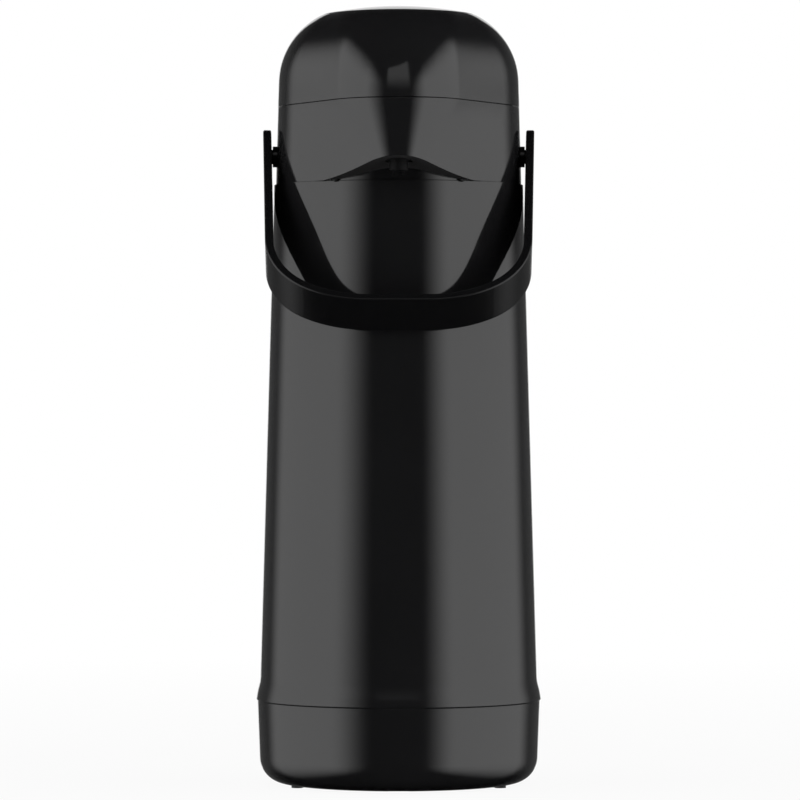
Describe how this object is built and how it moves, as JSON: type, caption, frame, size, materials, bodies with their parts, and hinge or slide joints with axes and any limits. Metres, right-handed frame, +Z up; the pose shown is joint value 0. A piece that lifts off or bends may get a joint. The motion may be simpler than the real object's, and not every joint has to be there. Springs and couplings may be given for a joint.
{
  "type": "airpot",
  "caption": "Pump vacuum flask: tapered casing, hinged lid with a beak spout and a press button, bail handle.",
  "frame": {"origin": "on the surface that the feet stand on, under the flask's axis", "axes": "+Z up along the flask's axis; the beak points along -Y; +X is to the right of someone who faces the beak"},
  "size_m": [0.1386, 0.1557, 0.3784],
  "materials": {
    "gloss_black": "polished black moulded plastic",
    "handle_black": "satin black moulded plastic",
    "rubber_dark": "matt black rubber",
    "rubber_pale": "pale silicone rubber",
    "silvered_glass": "silvered vacuum glass",
    "spacer_felt": "pressed fibre pad",
    "inner_plastic": "fine matt black plastic",
    "tube_plastic": "natural translucent plastic",
    "bright_steel": "bright stainless steel"
  },
  "bodies": {
    "bottle": {"outer_casing": "gloss_black", "base_cup": "gloss_black", "base_feet": "rubber_dark", "base_cushion": "rubber_dark", "liner_outer_glass": "silvered_glass", "liner_inner_glass": "silvered_glass", "liner_spacers": "spacer_felt", "mouth_gasket": "rubber_pale", "mouth_collar": "inner_plastic", "head_housing": "gloss_black", "tube_flange": "inner_plastic", "dip_tube": "tube_plastic", "spout_duct": "tube_plastic", "valve_ball": "bright_steel", "duct_grommet": "rubber_pale", "spout_nozzle": "handle_black", "hinge_pin": "bright_steel", "pivot_stud_left": "handle_black", "pivot_stud_right": "handle_black"},
    "lid": {"lid_shell": "gloss_black", "lid_plate": "inner_plastic", "lid_screws": "bright_steel", "lid_gasket": "rubber_pale", "lid_catch": "inner_plastic", "air_valve": "rubber_pale", "bellows": "rubber_pale", "bellows_ring": "inner_plastic", "return_spring": "bright_steel"},
    "push_button": {"push_button": "gloss_black"},
    "handle": {"bail_handle": "handle_black"}
  },
  "joints": [
    {"name": "lid_hinge", "type": "hinge", "parent": "bottle", "child": "lid", "pos_m": [0, 0.06114, 0.3292], "axis": [-1, 0, 0], "range_deg": [0, 95]},
    {"name": "button_press", "type": "slide", "parent": "lid", "child": "push_button", "axis": [0, 0, -1], "range_m": [0, 0.022], "stiffness_N_per_m": 350, "springref_m": -0.012, "deforming": ["bellows", "return_spring"]},
    {"name": "handle_swing", "type": "hinge", "parent": "bottle", "child": "handle", "pos_m": [0, 0, 0.3054], "axis": [-1, 0, 0], "range_deg": [0, 273.2]}
  ]
}
